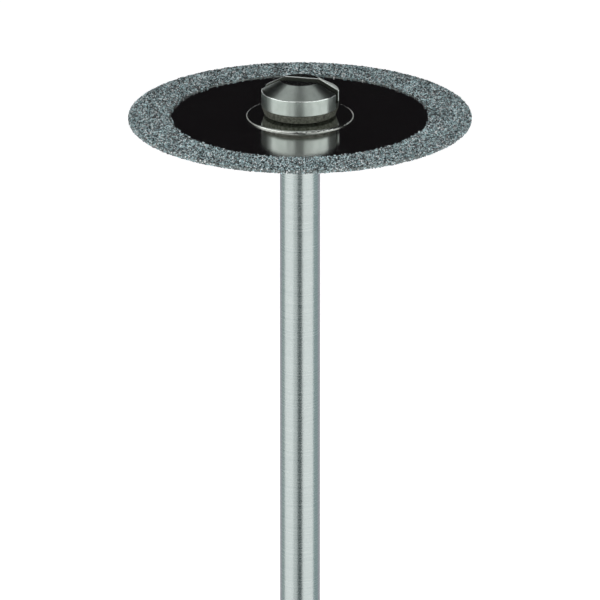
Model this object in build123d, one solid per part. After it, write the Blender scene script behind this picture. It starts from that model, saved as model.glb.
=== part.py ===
from build123d import *
from math import radians, tan
import os

# Diamond separating disc on a straight handpiece mandrel.
#
# The mandrel stands on the Z axis with its shank down. The origin is the
# centre of the shank's free end, and every piece above it is turned about the
# same axis. A thin steel disc, plated with diamond grit along its rim, lies on
# the mandrel's boss. A slotted screw clamps it through a washer and a ring.
# All sizes are in millimetres.

# Shank, the part that the chuck grips.
shank_diameter = 2.35
shank_length = 40.35
shank_end_chamfer = 0.3

# Boss under the disc: a short cone and a flat seat.
boss_cone_length = 1.3
boss_diameter = 6.0
boss_rim_length = 0.5
boss_edge_chamfer = 0.1

# Steel disc, and the diamond coat that wraps its rim.
disc_diameter = 20.0
blank_thickness = 0.10
coat_thickness = 0.04
coat_width = 2.45
coat_edge_radius = 0.03

# Washer that spreads the clamping force.
washer_diameter = 6.28
washer_thickness = 0.13
washer_edge_radius = 0.09

# Ring under the screw's head: widest just below its top, narrower at its foot,
# with a shallow bevel underneath that lifts its outer edge off the washer.
ring_top_diameter = 4.47
ring_foot_diameter = 4.2
ring_height = 0.57
ring_foot_bevel_width = 0.3
ring_foot_bevel_height = 0.13
ring_top_chamfer = 0.06

# Head of the clamp screw: a round band with a cone above it, and a slot that
# the saw cut a little behind the axis.
head_diameter = 4.52
head_height = 1.56
band_height = 0.94
head_top_diameter = 2.32
head_foot_chamfer = 0.05
head_rim_radius = 0.06
head_top_radius = 0.05
slot_width = 0.76
slot_offset = 0.1
slot_depth = 1.25
slot_edge_break = 0.04
slot_turn = -14

# Stem of the clamp screw: a plain shoulder that centres the disc, and a thread.
shoulder_diameter = 1.75
shoulder_gap = 0.03
thread_diameter = 1.6
thread_length = 2.4
thread_end_chamfer = 0.2

# Holes: the clearance round the shoulder, and the blind hole past the thread.
hole_clearance = 0.05
tap_runout = 0.4
drill_point_angle = 118

# Radii and heights that follow from the sizes above.
shank_radius = shank_diameter / 2
boss_radius = boss_diameter / 2
hole_radius = (shoulder_diameter + hole_clearance) / 2
thread_radius = thread_diameter / 2
seat_height = shank_length + boss_cone_length + boss_rim_length
blank_top = seat_height + blank_thickness
washer_top = blank_top + washer_thickness
ring_top = washer_top + ring_height
head_top = ring_top + head_height

# Difference in length that counts as none.
rounding = 1e-4


def turned(*outline):
    """Turn a closed outline of (radius, height) points about the Z axis."""
    return revolve(Plane.XZ * make_face(Polyline(*outline, close=True)), Axis.Z)


def same(first, second):
    """Whether two lengths are equal, apart from rounding."""
    return abs(first - second) < rounding


def round_edges(solid, radius, height):
    """The round edges of a turned piece at this radius and height."""
    return [
        edge
        for edge in solid.edges().filter_by(GeomType.CIRCLE)
        if same(edge.radius, radius) and same(edge.arc_center.Z, height)
    ]


def mandrel():
    """Shank, boss and tapped blind hole, turned from one bar."""
    body = turned(
        (0, 0),
        (shank_radius, 0),
        (shank_radius, shank_length),
        (boss_radius, shank_length + boss_cone_length),
        (boss_radius, seat_height),
        (0, seat_height),
    )
    body = chamfer(round_edges(body, shank_radius, 0), shank_end_chamfer)
    body = chamfer(round_edges(body, boss_radius, seat_height), boss_edge_chamfer)

    hole_base = seat_height - thread_length - tap_runout
    drill_point = thread_radius / tan(radians(drill_point_angle / 2))
    tapped_hole = turned(
        (0, hole_base - drill_point),
        (thread_radius, hole_base),
        (thread_radius, seat_height),
        (0, seat_height),
    )
    return body - tapped_hole


def disc_blank():
    """Thin sheet-steel disc with a centre hole."""
    blank_radius = disc_diameter / 2 - coat_thickness
    return turned(
        (hole_radius, seat_height),
        (blank_radius, seat_height),
        (blank_radius, blank_top),
        (hole_radius, blank_top),
    )


def diamond_coat():
    """Grit layer that wraps the blank's rim: upper face, edge and lower face."""
    outer_radius = disc_diameter / 2
    blank_radius = outer_radius - coat_thickness
    inner_radius = outer_radius - coat_width
    coat_top = blank_top + coat_thickness
    coat_base = seat_height - coat_thickness
    coat = turned(
        (inner_radius, blank_top),
        (inner_radius, coat_top),
        (outer_radius, coat_top),
        (outer_radius, coat_base),
        (inner_radius, coat_base),
        (inner_radius, seat_height),
        (blank_radius, seat_height),
        (blank_radius, blank_top),
    )
    rim_edges = round_edges(coat, outer_radius, coat_top)
    rim_edges += round_edges(coat, outer_radius, coat_base)
    return fillet(rim_edges, coat_edge_radius)


def clamp_washer():
    """Flat washer, blanked from sheet, which leaves its upper outer edge round."""
    washer_radius = washer_diameter / 2
    washer = turned(
        (hole_radius, blank_top),
        (washer_radius, blank_top),
        (washer_radius, washer_top),
        (hole_radius, washer_top),
    )
    return fillet(round_edges(washer, washer_radius, washer_top), washer_edge_radius)


def spacer_ring():
    """Ring between washer and head, tapering in towards its foot."""
    top_radius = ring_top_diameter / 2
    foot_radius = ring_foot_diameter / 2
    return turned(
        (hole_radius, washer_top),
        (foot_radius - ring_foot_bevel_width, washer_top),
        (foot_radius, washer_top + ring_foot_bevel_height),
        (top_radius, ring_top - ring_top_chamfer),
        (top_radius - ring_top_chamfer, ring_top),
        (hole_radius, ring_top),
    )


def slot_mouth_edges(head):
    """Edges where the two slot walls meet the outside of the head."""
    half_width = slot_width / 2
    slot_floor = head_top - slot_depth
    return [
        edge
        for edge in head.edges()
        if all(same(abs(end.Y - slot_offset), half_width) for end in edge.vertices())
        and (edge @ 0.5).Z > slot_floor + rounding
    ]


def screw_head():
    """Band and cone with rounded edges, and the slot cut across both."""
    head_radius = head_diameter / 2
    top_radius = head_top_diameter / 2
    band_top = ring_top + band_height
    head = turned(
        (0, ring_top),
        (head_radius, ring_top),
        (head_radius, band_top),
        (top_radius, head_top),
        (0, head_top),
    )
    head = chamfer(round_edges(head, head_radius, ring_top), head_foot_chamfer)
    head = fillet(round_edges(head, head_radius, band_top), head_rim_radius)
    head = fillet(round_edges(head, top_radius, head_top), head_top_radius)

    slot = Pos(0, slot_offset, head_top) * Box(2 * head_diameter, slot_width, 2 * slot_depth)
    head -= slot
    return chamfer(slot_mouth_edges(head), slot_edge_break)


def clamp_screw():
    """Slotted screw: head, plain shoulder and thread, turned in one piece."""
    shoulder_radius = shoulder_diameter / 2
    shoulder_base = seat_height + shoulder_gap
    thread_base = seat_height - thread_length
    stem = turned(
        (0, thread_base),
        (thread_radius, thread_base),
        (thread_radius, shoulder_base),
        (shoulder_radius, shoulder_base),
        (shoulder_radius, ring_top),
        (0, ring_top),
    )
    stem = chamfer(round_edges(stem, thread_radius, thread_base), thread_end_chamfer)
    return Rot(Z=slot_turn) * (screw_head() + stem)


pieces = {
    "mandrel": mandrel(),
    "disc_blank": disc_blank(),
    "diamond_coat": diamond_coat(),
    "clamp_washer": clamp_washer(),
    "spacer_ring": spacer_ring(),
    "clamp_screw": clamp_screw(),
}

os.makedirs("parts", exist_ok=True)
for name, piece in pieces.items():
    export_step(piece, f"parts/{name}.step")
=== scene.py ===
import math
import bpy
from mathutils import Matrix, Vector


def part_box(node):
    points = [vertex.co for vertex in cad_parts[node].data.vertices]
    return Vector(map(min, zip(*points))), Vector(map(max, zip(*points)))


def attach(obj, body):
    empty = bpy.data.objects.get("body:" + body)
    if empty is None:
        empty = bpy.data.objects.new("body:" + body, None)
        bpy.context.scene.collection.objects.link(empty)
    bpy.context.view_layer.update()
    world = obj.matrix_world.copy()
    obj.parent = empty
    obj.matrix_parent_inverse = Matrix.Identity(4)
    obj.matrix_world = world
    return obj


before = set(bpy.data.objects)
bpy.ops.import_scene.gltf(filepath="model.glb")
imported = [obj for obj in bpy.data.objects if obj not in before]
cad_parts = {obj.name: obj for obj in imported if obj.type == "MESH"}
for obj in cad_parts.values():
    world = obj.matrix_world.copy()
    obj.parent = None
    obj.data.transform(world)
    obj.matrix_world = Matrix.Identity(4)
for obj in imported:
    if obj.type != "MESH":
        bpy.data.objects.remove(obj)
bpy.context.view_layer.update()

# Camera.
# A long lens a metre away looks down on the disc by 18.4 degrees. The shank runs
# out of the lower edge of the picture, as it does in the photograph.
mm = 0.001
disc_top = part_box("disc_blank")[1].z
view_elevation = math.radians(19.02)
view_distance = 1.0
view_width = 35.15 * mm
aim_below_disc = 11.32 * mm

aim = Vector((0, 0, disc_top - aim_below_disc))
towards_camera = Vector((0, -math.cos(view_elevation), math.sin(view_elevation)))
camera_data = bpy.data.cameras.new("camera")
camera_data.lens = camera_data.sensor_width * view_distance / view_width
camera_data.clip_start = 0.1 * view_distance
camera_data.clip_end = 4 * view_distance
camera = bpy.data.objects.new("camera", camera_data)
camera.location = aim + towards_camera * view_distance
camera.rotation_euler = (-towards_camera).to_track_quat("-Z", "Y").to_euler()
bpy.context.scene.collection.objects.link(camera)
bpy.context.scene.camera = camera
bpy.context.scene.view_settings.view_transform = "Standard"


# Table and backdrop.
# One sheet of matt white paper, flat under the shank's end and turned up all
# round into a low wall. It shows white, also in the metal, and keeps shadows.
def linear(code):
    """The linear colour, with alpha, of an sRGB code such as #ffffff."""
    parts = [int(code[i : i + 2], 16) / 255 for i in (1, 3, 5)]
    return [c / 12.92 if c <= 0.04045 else ((c + 0.055) / 1.055) ** 2.4 for c in parts] + [1]


def add(tree, kind, inputs=(), **settings):
    """Add a node: its settings, then its inputs, each a value or another node's output."""
    made = tree.nodes.new(kind)
    for name, value in settings.items():
        setattr(made, name, value)
    for name, value in dict(inputs).items():
        if isinstance(value, bpy.types.NodeSocket):
            tree.links.new(value, made.inputs[name])
        else:
            made.inputs[name].default_value = value
    return made


def new_material(name):
    """An empty material with an output node."""
    material = bpy.data.materials.new(name)
    material.use_nodes = True
    material.node_tree.nodes.clear()
    return material, material.node_tree


def new_piece(name, vertices, faces, material):
    """A mesh object at the origin with one material."""
    mesh = bpy.data.meshes.new(name)
    mesh.from_pydata(vertices, [], faces)
    mesh.materials.append(material)
    piece = bpy.data.objects.new(name, mesh)
    bpy.context.scene.collection.objects.link(piece)
    return piece


def turned(outline, steps):
    """Rings of vertices and the faces between them, for an outline of (radius, height) points."""
    vertices, faces = [], []
    for radius, height in outline:
        for step in range(steps):
            angle = 2 * math.pi * step / steps
            vertices.append((radius * math.cos(angle), radius * math.sin(angle), height))
    for ring in range(len(outline) - 1):
        for step in range(steps):
            near, far = ring * steps + step, ring * steps + (step + 1) % steps
            faces.append((near, far, far + steps, near + steps))
    return vertices, faces


def make_paper():
    material, tree = new_material("matt_white_paper")
    ray = add(tree, "ShaderNodeLightPath")
    seen = add(tree, "ShaderNodeMath", {0: ray.outputs["Is Camera Ray"], 1: ray.outputs["Is Glossy Ray"]},
               operation="MAXIMUM")
    seen = add(tree, "ShaderNodeMath", {0: seen.outputs[0], 1: ray.outputs["Is Transmission Ray"]},
               operation="MAXIMUM")
    paper_glow = 0.80
    glow_strength = add(tree, "ShaderNodeMath", {0: seen.outputs[0], 1: paper_glow}, operation="MULTIPLY")
    glow = add(tree, "ShaderNodeEmission", {
        "Color": linear("#ffffff"), "Strength": glow_strength.outputs[0]})
    paper = add(tree, "ShaderNodeBsdfDiffuse", {"Color": linear("#f2f2f2")})
    both = add(tree, "ShaderNodeAddShader", {0: paper.outputs[0], 1: glow.outputs[0]})
    facing = add(tree, "ShaderNodeNewGeometry")
    hidden = add(tree, "ShaderNodeBsdfTransparent")
    mixed = add(tree, "ShaderNodeMixShader", {
        0: facing.outputs["Backfacing"], 1: both.outputs[0], 2: hidden.outputs[0]})
    add(tree, "ShaderNodeOutputMaterial", {"Surface": mixed.outputs[0]})
    return material


middle_radius = 0.5 * mm
flat_radius = 750 * mm
bend_radius = 160 * mm
bend_steps = 12
steps_round = 96
paper_outline = [(middle_radius, 0), (flat_radius, 0)]
for step in range(1, bend_steps + 1):
    turn = math.pi / 2 * step / bend_steps
    paper_outline.append((flat_radius + bend_radius * math.sin(turn), bend_radius * (1 - math.cos(turn))))
vertices, faces = turned(paper_outline, steps_round)
paper = new_piece("paper", vertices, [tuple(reversed(face)) for face in faces], make_paper())

# The studio beyond the paper is nearly black. The bright disc mirrors it.
world = bpy.data.worlds.new("dark_studio")
world.use_nodes = True
world.node_tree.nodes["Background"].inputs["Color"].default_value = linear("#fff4ff")
world.node_tree.nodes["Background"].inputs["Strength"].default_value = 0.0088
bpy.context.scene.world = world


# Lamps.
# Tall softboxes stand left and right of the camera, with a dark gap where it looks
# in, and light the head's band by way of the disc. A small softbox hangs close above
# the front for the grit, and two panels high behind shape the head's cone.
def softbox(name, azimuth, elevation, distance, width, height, radiance):
    """An area lamp that faces the disc. Azimuth 0 is the camera's side, and 90 is to its right."""
    lamp = bpy.data.lights.new(name, "AREA")
    lamp.shape = "RECTANGLE"
    lamp.size = width
    lamp.size_y = height
    lamp.energy = radiance * math.pi * width * height
    box = bpy.data.objects.new(name, lamp)
    a, e = math.radians(azimuth), math.radians(elevation)
    away = Vector((math.sin(a) * math.cos(e), -math.cos(a) * math.cos(e), math.sin(e)))
    box.location = Vector((0, 0, disc_top)) + away * distance
    box.rotation_euler = away.to_track_quat("Z", "Y").to_euler()
    box.visible_camera = False
    bpy.context.scene.collection.objects.link(box)


softbox("left_softbox", -69, 20, 0.5, 0.48, 0.42, 1.40)
softbox("left_inner_softbox", -30.5, 20, 0.5, 0.245, 0.42, 0.80)
softbox("left_outer_softbox", -104, 20, 0.5, 0.14, 0.42, 0.35)
softbox("right_softbox", 67, 20, 0.5, 0.44, 0.42, 1.40)
softbox("right_inner_softbox", 28.5, 20, 0.5, 0.27, 0.42, 0.95)
softbox("near_overhead_softbox", 0, 58, 0.15, 0.14, 0.10, 0.95)
softbox("left_panel", -140, 64, 0.6, 0.24, 0.26, 0.80)
softbox("right_panel", 140, 65, 0.6, 0.24, 0.24, 0.62)


# Cards lie on the paper and show only in the metal: a dark one in front with a pale
# one beside it, grey ones at the sides and behind, and a nearly black one further back.
def card_sector(start, stop, inner, outer, height, steps=48):
    """A flat sector of a ring, from one azimuth in degrees to another."""
    vertices, faces = [], []
    for step in range(steps + 1):
        a = math.radians(start + (stop - start) * step / steps)
        for radius in (inner, outer):
            vertices.append((radius * math.sin(a), -radius * math.cos(a), height))
    for step in range(steps):
        near = 2 * step
        faces.append((near, near + 1, near + 3, near + 2))
    return vertices, faces


def card(name, start, stop, colour, inner=2 * mm, outer=250 * mm):
    """A card of plain glowing colour that only mirrors see."""
    material, tree = new_material(name)
    glow = add(tree, "ShaderNodeEmission", {"Color": linear(colour), "Strength": 1.0})
    add(tree, "ShaderNodeOutputMaterial", {"Surface": glow.outputs[0]})
    above_paper = 0.2 * mm
    made = new_piece(name, *card_sector(start, stop, inner, outer, above_paper), material)
    for kind in ("camera", "diffuse", "transmission", "volume_scatter", "shadow"):
        setattr(made, "visible_" + kind, False)


card("front_card", -14, 13, "#4f5a5c")
card("left_shade", -38, -14, "#e9ecec")
card("right_card", 82, 124, "#a7b8ba")
card("back_card", 124, 230, "#bdb9c2")
card("left_card", 230, 263, "#b0bcbc")
card("far_back_card", 110, 250, "#26282a", 250 * mm, 740 * mm)


# Mandrel.
# One bar of stainless steel, with a turned boss and a shank ground between wheels.
# The wheels leave level marks round it that soften what it mirrors. The real marks
# are too fine to show, so they are drawn coarser.
def dress(node, material):
    """Give a CAD node its material."""
    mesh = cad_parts[node].data
    mesh.materials.clear()
    mesh.materials.append(material)


def make_ground_steel():
    material, tree = new_material("centreless_ground_stainless_steel")
    place = add(tree, "ShaderNodeTexCoord")
    mark_spacing = 0.09 * mm
    mark_length = 12 * mm
    stretch = add(tree, "ShaderNodeMapping", {
        "Vector": place.outputs["Object"],
        "Scale": (1 / mark_length, 1 / mark_length, 1 / mark_spacing)})
    marks = add(tree, "ShaderNodeTexNoise", {
        "Vector": stretch.outputs[0], "Scale": 1.0, "Detail": 3.0, "Roughness": 0.6})
    tone = add(tree, "ShaderNodeMapRange", {
        "Value": marks.outputs[0], "From Min": 0.3, "From Max": 0.7, "To Min": 0.0, "To Max": 1.0})
    colour = add(tree, "ShaderNodeMix", {0: tone.outputs[0], 6: linear("#b0b9b8"), 7: linear("#c2cac8")},
                 data_type="RGBA")
    rough = add(tree, "ShaderNodeMapRange", {
        "Value": marks.outputs[0], "From Min": 0.3, "From Max": 0.7, "To Min": 0.22, "To Max": 0.30})
    relief = add(tree, "ShaderNodeBump", {
        "Height": marks.outputs[0], "Strength": 0.25, "Distance": 0.001 * mm})
    steel = add(tree, "ShaderNodeBsdfPrincipled", {
        "Base Color": colour.outputs[2], "Metallic": 1.0, "Roughness": rough.outputs[0],
        "Normal": relief.outputs[0]})
    add(tree, "ShaderNodeOutputMaterial", {"Surface": steel.outputs[0]})
    return material


dress("mandrel", make_ground_steel())


# Disc blank.
# A disc punched from bright cold-rolled steel a tenth of a millimetre thick. It is
# nearly a mirror, and the mill's rolls leave faint straight streaks across it, drawn
# wider than the real ones so that they show.
def make_rolled_sheet():
    material, tree = new_material("bright_rolled_sheet_steel")
    place = add(tree, "ShaderNodeTexCoord")
    streak_width = 0.25 * mm
    streak_length = 6 * mm
    rolling_turn = math.radians(72)
    stretch = add(tree, "ShaderNodeMapping", {
        "Vector": place.outputs["Object"],
        "Rotation": (0, 0, rolling_turn),
        "Scale": (1 / streak_length, 1 / streak_width, 1 / streak_length)})
    streaks = add(tree, "ShaderNodeTexNoise", {
        "Vector": stretch.outputs[0], "Scale": 1.0, "Detail": 3.0, "Roughness": 0.55})
    colour = add(tree, "ShaderNodeMix", {
        0: streaks.outputs[0], 6: linear("#bdbbbc"), 7: linear("#cbcac8")}, data_type="RGBA")
    rough = add(tree, "ShaderNodeMapRange", {
        "Value": streaks.outputs[0], "From Min": 0.3, "From Max": 0.7, "To Min": 0.09, "To Max": 0.14})
    steel = add(tree, "ShaderNodeBsdfPrincipled", {
        "Base Color": colour.outputs[2], "Metallic": 1.0, "Roughness": rough.outputs[0]})
    add(tree, "ShaderNodeOutputMaterial", {"Surface": steel.outputs[0]})
    return material


dress("disc_blank", make_rolled_sheet())


# Diamond coat.
# The disc's rim is dipped in a nickel bath that holds diamond grit. The nickel
# grows round the grains' feet and grips them, and their sharp upper halves stand out.
# The nickel's knobbly skin is drawn coarser than it is, so that it shows between them.
def make_nickel_bond():
    material, tree = new_material("plated_nickel_bond")
    place = add(tree, "ShaderNodeTexCoord")
    nodule_size = 0.06 * mm
    nodules = add(tree, "ShaderNodeTexNoise", {
        "Vector": place.outputs["Object"], "Scale": 1 / nodule_size, "Detail": 2.0})
    colour = add(tree, "ShaderNodeMix", {
        0: nodules.outputs[0], 6: linear("#5f6866"), 7: linear("#a5aeac")}, data_type="RGBA")
    relief = add(tree, "ShaderNodeBump", {
        "Height": nodules.outputs[0], "Strength": 0.8, "Distance": 0.02 * mm})
    nickel = add(tree, "ShaderNodeBsdfPrincipled", {
        "Base Color": colour.outputs[2], "Metallic": 1.0, "Roughness": 0.55,
        "Normal": relief.outputs[0]})
    add(tree, "ShaderNodeOutputMaterial", {"Surface": nickel.outputs[0]})
    return material


def make_diamond_grit():
    """Grey synthetic diamond: sharp glassy facets, and a tone of its own for each grain."""
    material, tree = new_material("grey_diamond_grit")
    grain_tone = add(tree, "ShaderNodeAttribute", attribute_name="grain_tone")
    colour = add(tree, "ShaderNodeValToRGB", {"Fac": grain_tone.outputs["Fac"]})
    ramp = colour.color_ramp
    ramp.elements[0].color = linear("#060a0b")
    ramp.elements[1].color = linear("#ffffff")
    for share, code in ((0.3, "#2c3a3d"), (0.62, "#a0bdc2"), (0.85, "#d8f6fa")):
        ramp.elements.new(share).color = linear(code)

    # Dust clogs the coat in patches. The near side is painted lighter and the far side darker, as painted
    # light.
    place = add(tree, "ShaderNodeTexCoord")
    patch_size = 1.1 * mm
    patches = add(tree, "ShaderNodeTexNoise", {
        "Vector": place.outputs["Object"], "Scale": 1 / patch_size, "Detail": 2.0})
    patch_shade = add(tree, "ShaderNodeMapRange", {
        "Value": patches.outputs[0], "From Min": 0.35, "From Max": 0.65, "To Min": 0.84, "To Max": 1.12})
    apart = add(tree, "ShaderNodeSeparateXYZ", {0: place.outputs["Object"]})
    # Painted light: the grit's colour is lighter towards the near side and darker towards the far side.
    near_side_painted_light = add(tree, "ShaderNodeMapRange", {
        "Value": apart.outputs["Y"], "From Min": -coat_radius, "From Max": coat_radius,
        "To Min": 1.15, "To Max": 0.95})
    shade = add(tree, "ShaderNodeMath", {0: patch_shade.outputs[0], 1: near_side_painted_light.outputs[0]},
                operation="MULTIPLY")
    shaded = add(tree, "ShaderNodeVectorMath", {0: colour.outputs[0], "Scale": shade.outputs[0]},
                 operation="SCALE")
    diamond_ior = 2.42
    grain = add(tree, "ShaderNodeBsdfPrincipled", {
        "Base Color": shaded.outputs[0], "Metallic": 0.0, "Roughness": 0.14, "IOR": diamond_ior})
    add(tree, "ShaderNodeOutputMaterial", {"Surface": grain.outputs[0]})
    return material


def make_grit_tree():
    """A tree that strews grains over a ring-shaped strip between two radii and two heights."""
    tree = bpy.data.node_groups.new("grit_on_a_ring", "GeometryNodeTree")
    sockets = {"Inner Radius": "Float", "Outer Radius": "Float", "Inner Height": "Float",
               "Outer Height": "Float", "Ragged Width": "Float", "Edge Crowding": "Float",
               "Grain Size": "Float", "Grain Spacing": "Float", "Seed": "Int", "Material": "Material"}
    for name, kind in sockets.items():
        tree.interface.new_socket(name, in_out="INPUT", socket_type="NodeSocket" + kind)
    tree.interface.new_socket("Grit", in_out="OUTPUT", socket_type="NodeSocketGeometry")
    given = add(tree, "NodeGroupInput").outputs

    # A flat grid is bent into the ring: its X runs round, its Y from the inner to the outer edge.
    grid = add(tree, "GeometryNodeMeshGrid", {
        "Size X": 1.0, "Size Y": 1.0, "Vertices X": 193, "Vertices Y": 11})
    spot = add(tree, "GeometryNodeInputPosition")
    flat = add(tree, "ShaderNodeSeparateXYZ", {0: spot.outputs[0]})
    angle = add(tree, "ShaderNodeMath", {0: flat.outputs["X"], 1: 2 * math.pi}, operation="MULTIPLY")
    radius = add(tree, "ShaderNodeMapRange", {
        "Value": flat.outputs["Y"], "From Min": -0.5, "From Max": 0.5,
        "To Min": given["Inner Radius"], "To Max": given["Outer Radius"]})
    height = add(tree, "ShaderNodeMapRange", {
        "Value": flat.outputs["Y"], "From Min": -0.5, "From Max": 0.5,
        "To Min": given["Inner Height"], "To Max": given["Outer Height"]})
    cosine = add(tree, "ShaderNodeMath", {0: angle.outputs[0]}, operation="COSINE")
    sine = add(tree, "ShaderNodeMath", {0: angle.outputs[0]}, operation="SINE")
    across = add(tree, "ShaderNodeMath", {0: cosine.outputs[0], 1: radius.outputs[0]}, operation="MULTIPLY")
    along = add(tree, "ShaderNodeMath", {0: sine.outputs[0], 1: radius.outputs[0]}, operation="MULTIPLY")
    bent = add(tree, "ShaderNodeCombineXYZ", {
        "X": across.outputs[0], "Y": along.outputs[0], "Z": height.outputs[0]})
    ring = add(tree, "GeometryNodeSetPosition", {
        "Geometry": grid.outputs["Mesh"], "Position": bent.outputs[0]})

    # Grains lie close together, and thin out towards the inner edge. Their spacing sets
    # how many there are, because the greatest crowding is well past what it lets through.
    most_grains_per_square_metre = 6e8
    level = add(tree, "ShaderNodeVectorMath", {0: spot.outputs[0], 1: (1, 1, 0)}, operation="MULTIPLY")
    reach = add(tree, "ShaderNodeVectorMath", {0: level.outputs[0]}, operation="LENGTH")
    full = add(tree, "ShaderNodeMath", {0: given["Inner Radius"], 1: given["Ragged Width"]}, operation="ADD")
    crowding = add(tree, "ShaderNodeMapRange", {
        "Value": reach.outputs["Value"], "From Min": given["Inner Radius"], "From Max": full.outputs[0],
        "To Min": given["Edge Crowding"], "To Max": 1.0})
    strewn = add(tree, "GeometryNodeDistributePointsOnFaces", {
        "Mesh": ring.outputs[0], "Distance Min": given["Grain Spacing"],
        "Density Max": most_grains_per_square_metre,
        "Density Factor": crowding.outputs[0], "Seed": given["Seed"]},
        distribute_method="POISSON")

    # Each grain is an octahedron, as diamond grows, with its own turn, size and tone.
    half = add(tree, "ShaderNodeMath", {0: given["Grain Size"], 1: 0.5}, operation="MULTIPLY")
    grain = add(tree, "GeometryNodeMeshUVSphere", {
        "Segments": 4, "Rings": 2, "Radius": half.outputs[0]})
    turn = add(tree, "FunctionNodeRandomValue", {0: (0, 0, 0), 1: (6.28, 6.28, 6.28), "Seed": 11},
               data_type="FLOAT_VECTOR")
    turned_so = add(tree, "FunctionNodeEulerToRotation", {0: turn.outputs[0]})
    stretch = add(tree, "FunctionNodeRandomValue", {0: (0.65, 0.65, 0.65), 1: (1.3, 1.3, 1.3), "Seed": 12},
                  data_type="FLOAT_VECTOR")
    grains = add(tree, "GeometryNodeInstanceOnPoints", {
        "Points": strewn.outputs["Points"], "Instance": grain.outputs["Mesh"],
        "Rotation": turned_so.outputs[0], "Scale": stretch.outputs[0]})
    tone = add(tree, "FunctionNodeRandomValue", {2: 0.0, 3: 1.0, "Seed": 13}, data_type="FLOAT")
    toned = add(tree, "GeometryNodeStoreNamedAttribute", {
        "Geometry": grains.outputs[0], "Name": "grain_tone", "Value": tone.outputs[1]},
        data_type="FLOAT", domain="INSTANCE")
    real = add(tree, "GeometryNodeRealizeInstances", {0: toned.outputs[0]})
    chip = add(tree, "FunctionNodeRandomValue", {0: (-0.2, -0.2, -0.2), 1: (0.2, 0.2, 0.2), "Seed": 14},
               data_type="FLOAT_VECTOR")
    chip_size = add(tree, "ShaderNodeVectorMath", {0: chip.outputs[0], "Scale": given["Grain Size"]},
                    operation="SCALE")
    chipped = add(tree, "GeometryNodeSetPosition", {
        "Geometry": real.outputs[0], "Offset": chip_size.outputs[0]})
    coloured = add(tree, "GeometryNodeSetMaterial", {
        "Geometry": chipped.outputs[0], "Material": given["Material"]})
    add(tree, "NodeGroupOutput", {"Grit": coloured.outputs[0]})
    return tree


def grow(name, tree, values):
    """Run a tree once with these values, and keep its result as a plain mesh object."""
    holder = bpy.data.objects.new("holder", bpy.data.meshes.new("holder"))
    bpy.context.scene.collection.objects.link(holder)
    modifier = holder.modifiers.new("grow", "NODES")
    modifier.node_group = tree
    for socket in tree.interface.items_tree:
        if socket.in_out == "INPUT":
            modifier[socket.identifier] = values[socket.name]
    mesh = bpy.data.meshes.new_from_object(
        holder.evaluated_get(bpy.context.evaluated_depsgraph_get()),
        preserve_all_data_layers=True, depsgraph=bpy.context.evaluated_depsgraph_get())
    bpy.data.objects.remove(holder)
    mesh.name = name
    piece = bpy.data.objects.new(name, mesh)
    bpy.context.scene.collection.objects.link(piece)
    return piece


dress("diamond_coat", make_nickel_bond())

coat_low, coat_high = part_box("diamond_coat")
coat_radius = coat_high.x
coat_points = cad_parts["diamond_coat"].data.vertices
coat_inner_radius = min(math.hypot(point.co.x, point.co.y) for point in coat_points)
grain_size = 0.11 * mm
grain_spacing = 0.068 * mm
stray_width = 0.08 * mm
edge_inset = 0.05 * mm
lift = 0.005 * mm
sink = 0.01 * mm
grit_tree = make_grit_tree()
grit_material = make_diamond_grit()
faces_of_grit = {"grit_above": (coat_high.z + lift, 1), "grit_below": (coat_low.z - lift, 2)}
for name, (height, seed) in faces_of_grit.items():
    grit = grow(name, grit_tree, {
        "Inner Radius": coat_inner_radius - stray_width, "Outer Radius": coat_radius - edge_inset,
        "Inner Height": height, "Outer Height": height,
        "Ragged Width": 0.22 * mm, "Edge Crowding": 0.1, "Grain Size": grain_size,
        "Grain Spacing": grain_spacing, "Seed": seed, "Material": grit_material})
    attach(grit, "root")
edge_grit = grow("grit_on_edge", grit_tree, {
    "Inner Radius": coat_radius - sink, "Outer Radius": coat_radius - sink,
    "Inner Height": coat_low.z + sink, "Outer Height": coat_high.z - sink,
    "Ragged Width": 1 * mm, "Edge Crowding": 1.0, "Grain Size": grain_size,
    "Grain Spacing": grain_spacing, "Seed": 3, "Material": grit_material})
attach(edge_grit, "root")


# Clamp washer.
# A flat washer blanked from bright steel sheet, which rounds its upper edge. It
# spreads the screw's force over the thin disc. Its top is nearly a mirror, and its
# rim is duller, so it shows as a soft bright line.
def make_washer_steel():
    material, tree = new_material("blanked_sheet_steel")
    place = add(tree, "ShaderNodeTexCoord")
    stain_size = 0.9 * mm
    stain = add(tree, "ShaderNodeTexNoise", {
        "Vector": place.outputs["Object"], "Scale": 1 / stain_size, "Detail": 4.0, "Roughness": 0.6})
    colour = add(tree, "ShaderNodeMix", {
        0: stain.outputs[0], 6: linear("#b9bcb5"), 7: linear("#d3dad5")}, data_type="RGBA")
    facing = add(tree, "ShaderNodeNewGeometry")
    tilt = add(tree, "ShaderNodeSeparateXYZ", {0: facing.outputs["Normal"]})
    level_tilt = 0.995
    on_top = add(tree, "ShaderNodeMath", {0: tilt.outputs["Z"], 1: level_tilt}, operation="GREATER_THAN")
    rim_rough = add(tree, "ShaderNodeMapRange", {
        "Value": stain.outputs[0], "From Min": 0.35, "From Max": 0.7, "To Min": 0.26, "To Max": 0.20})
    rough = add(tree, "ShaderNodeMix", {
        0: on_top.outputs[0], 2: rim_rough.outputs[0], 3: 0.10}, data_type="FLOAT")
    steel = add(tree, "ShaderNodeBsdfPrincipled", {
        "Base Color": colour.outputs[2], "Metallic": 1.0, "Roughness": rough.outputs[0]})
    add(tree, "ShaderNodeOutputMaterial", {"Surface": steel.outputs[0]})
    return material


dress("clamp_washer", make_washer_steel())


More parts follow.
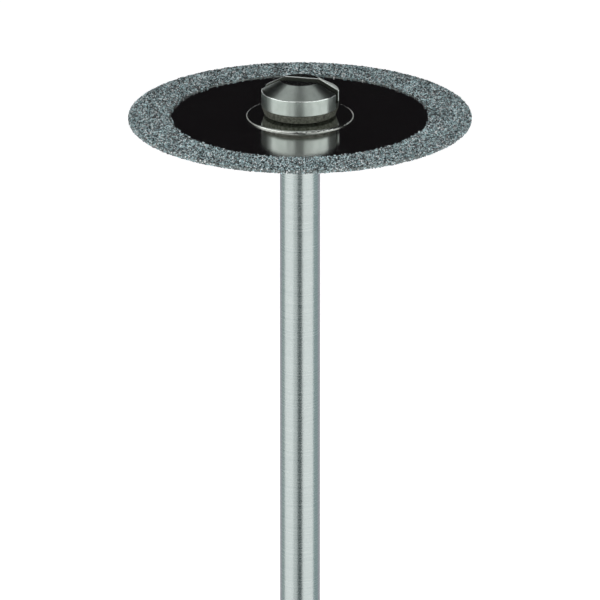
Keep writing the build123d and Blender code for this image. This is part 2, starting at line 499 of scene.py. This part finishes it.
# Spacer ring.
# A short turned ring under the head. Flux and polishing paste have stained it
# olive brown, and its side is dull and speckled.
def make_stained_steel():
    material, tree = new_material("stained_turned_steel")
    place = add(tree, "ShaderNodeTexCoord")
    speck_size = 0.16 * mm
    specks = add(tree, "ShaderNodeTexNoise", {
        "Vector": place.outputs["Object"], "Scale": 1 / speck_size, "Detail": 4.0, "Roughness": 0.65})
    tone = add(tree, "ShaderNodeMapRange", {
        "Value": specks.outputs[0], "From Min": 0.32, "From Max": 0.68, "To Min": 0.0, "To Max": 1.0})
    colour = add(tree, "ShaderNodeMix", {
        0: tone.outputs[0], 6: linear("#41443a"), 7: linear("#83857a")}, data_type="RGBA")
    rough = add(tree, "ShaderNodeMapRange", {
        "Value": tone.outputs[0], "From Min": 0.0, "From Max": 1.0, "To Min": 0.65, "To Max": 0.5})
    relief = add(tree, "ShaderNodeBump", {
        "Height": specks.outputs[0], "Strength": 0.4, "Distance": 0.01 * mm})
    steel = add(tree, "ShaderNodeBsdfPrincipled", {
        "Base Color": colour.outputs[2], "Metallic": 0.35, "Roughness": rough.outputs[0],
        "Normal": relief.outputs[0]})
    add(tree, "ShaderNodeOutputMaterial", {"Surface": steel.outputs[0]})
    return material


dress("spacer_ring", make_stained_steel())


# Clamp screw.
# Turned from stainless bar and burnished on its band. The lathe tool leaves fine
# rings, drawn coarser than they are, which spread each lamp up and down the head.
# The cone is duller than the band, and the milled slot is the dullest.
def make_turned_steel():
    material, tree = new_material("turned_stainless_steel")
    place = add(tree, "ShaderNodeTexCoord")
    facing = add(tree, "ShaderNodeNewGeometry")
    tilt = add(tree, "ShaderNodeSeparateXYZ", {0: facing.outputs["Normal"]})
    level_tilt = 0.995
    edge_tilt = 0.47
    on_cone = add(tree, "ShaderNodeMath", {0: tilt.outputs["Z"], 1: cone_tilt, 2: 0.03}, operation="COMPARE")
    on_top = add(tree, "ShaderNodeMath", {0: tilt.outputs["Z"], 1: level_tilt}, operation="GREATER_THAN")
    edge_polish_and_painted_highlight = add(tree, "ShaderNodeMath", {0: tilt.outputs["Z"], 1: edge_tilt, 2: 0.35}, operation="COMPARE")

    # Rings that the tool leaves: they follow the radius on the cone and the height on the band.
    apart = add(tree, "ShaderNodeSeparateXYZ", {0: place.outputs["Object"]})
    level = add(tree, "ShaderNodeVectorMath", {0: place.outputs["Object"], 1: (1, 1, 0)},
                operation="MULTIPLY")
    reach = add(tree, "ShaderNodeVectorMath", {0: level.outputs[0]}, operation="LENGTH")
    mark_spacing = 0.07 * mm
    mark_length = 1.5 * mm
    stretch = add(tree, "ShaderNodeVectorMath", {
        0: place.outputs["Object"], 1: (1 / mark_length, 1 / mark_length, 0)}, operation="MULTIPLY")
    rings = add(tree, "ShaderNodeMath", {0: reach.outputs["Value"], 1: 1 / mark_spacing},
                operation="MULTIPLY")
    rings_up = add(tree, "ShaderNodeMath", {0: apart.outputs["Z"], 1: 1 / mark_spacing},
                   operation="MULTIPLY")
    ringed = add(tree, "ShaderNodeCombineXYZ", {"Z": rings.outputs[0], "Y": rings_up.outputs[0]})
    where = add(tree, "ShaderNodeVectorMath", {0: stretch.outputs[0], 1: ringed.outputs[0]},
                operation="ADD")
    marks = add(tree, "ShaderNodeTexNoise", {
        "Vector": where.outputs[0], "Scale": 1.0, "Detail": 2.0, "Roughness": 0.6})

    # Wiping and handling leave short upright streaks and smears on the band.
    streak_width = 0.35 * mm
    streak_height = 0.7 * mm
    upright = add(tree, "ShaderNodeMapping", {
        "Vector": place.outputs["Object"],
        "Scale": (1 / streak_width, 1 / streak_width, 1 / streak_height)})
    streaks = add(tree, "ShaderNodeTexNoise", {
        "Vector": upright.outputs[0], "Scale": 1.0, "Detail": 3.0, "Roughness": 0.6})
    tone = add(tree, "ShaderNodeMapRange", {
        "Value": streaks.outputs[0], "From Min": 0.3, "From Max": 0.62, "To Min": 0.0, "To Max": 1.0})
    colour = add(tree, "ShaderNodeMix", {
        0: tone.outputs[0], 6: linear("#b9c4bd"), 7: linear("#c6d0ca")}, data_type="RGBA")

    # The edges are a little smoother, and their colour is painted brighter, as a painted highlight along the
    # rims. The slot is milled: its walls are duller, and their colour is painted darker, as painted shade in
    # the recess.
    # Painted highlight: the edges get a lighter colour.
    colour = add(tree, "ShaderNodeMix", {
        0: edge_polish_and_painted_highlight.outputs[0], 6: colour.outputs[2], 7: linear("#dfe6e2")}, data_type="RGBA")
    across = add(tree, "ShaderNodeMapping", {
        "Vector": place.outputs["Object"], "Rotation": (0, 0, -slot_turn)})
    across = add(tree, "ShaderNodeSeparateXYZ", {0: across.outputs[0]})
    wall_slack = 0.004 * mm
    slot_dullness_and_painted_shade = add(tree, "ShaderNodeMath", {
        0: across.outputs["Y"], 1: slot_offset, 2: slot_width / 2 + wall_slack}, operation="COMPARE")
    # Painted shade: the slot's walls get a darker colour.
    colour = add(tree, "ShaderNodeMix", {
        0: slot_dullness_and_painted_shade.outputs[0], 6: colour.outputs[2], 7: linear("#62675f")}, data_type="RGBA")

    cone_rough = add(tree, "ShaderNodeMapRange", {
        "Value": marks.outputs[0], "From Min": 0.3, "From Max": 0.7, "To Min": 0.30, "To Max": 0.36})
    band_rough = add(tree, "ShaderNodeMapRange", {
        "Value": streaks.outputs[0], "From Min": 0.3, "From Max": 0.7, "To Min": 0.34, "To Max": 0.28})
    rough = add(tree, "ShaderNodeMix", {
        0: on_cone.outputs[0], 2: band_rough.outputs[0], 3: cone_rough.outputs[0]}, data_type="FLOAT")
    rough = add(tree, "ShaderNodeMix", {
        0: on_top.outputs[0], 2: rough.outputs[0], 3: 0.12}, data_type="FLOAT")
    rough = add(tree, "ShaderNodeMix", {
        0: edge_polish_and_painted_highlight.outputs[0], 2: rough.outputs[0], 3: 0.22}, data_type="FLOAT")
    rough = add(tree, "ShaderNodeMix", {
        0: slot_dullness_and_painted_shade.outputs[0], 2: rough.outputs[0], 3: 0.38}, data_type="FLOAT")
    relief = add(tree, "ShaderNodeBump", {
        "Height": marks.outputs[0], "Strength": 0.3, "Distance": 0.001 * mm})
    round_about = add(tree, "ShaderNodeTangent", direction_type="RADIAL", axis="Z")
    steel = add(tree, "ShaderNodeBsdfPrincipled", {
        "Base Color": colour.outputs[2], "Metallic": 1.0, "Roughness": rough.outputs[0],
        "Anisotropic": 0.85, "Anisotropic Rotation": 0.25, "Tangent": round_about.outputs[0],
        "Normal": relief.outputs[0]})
    add(tree, "ShaderNodeOutputMaterial", {"Surface": steel.outputs[0]})
    return material


cone_height = 0.62 * mm
cone_reach = 1.1 * mm
cone_tilt = math.cos(math.atan2(cone_height, cone_reach))
slot_width = 0.76 * mm
slot_offset = 0.1 * mm
slot_turn = math.radians(-14)
dress("clamp_screw", make_turned_steel())
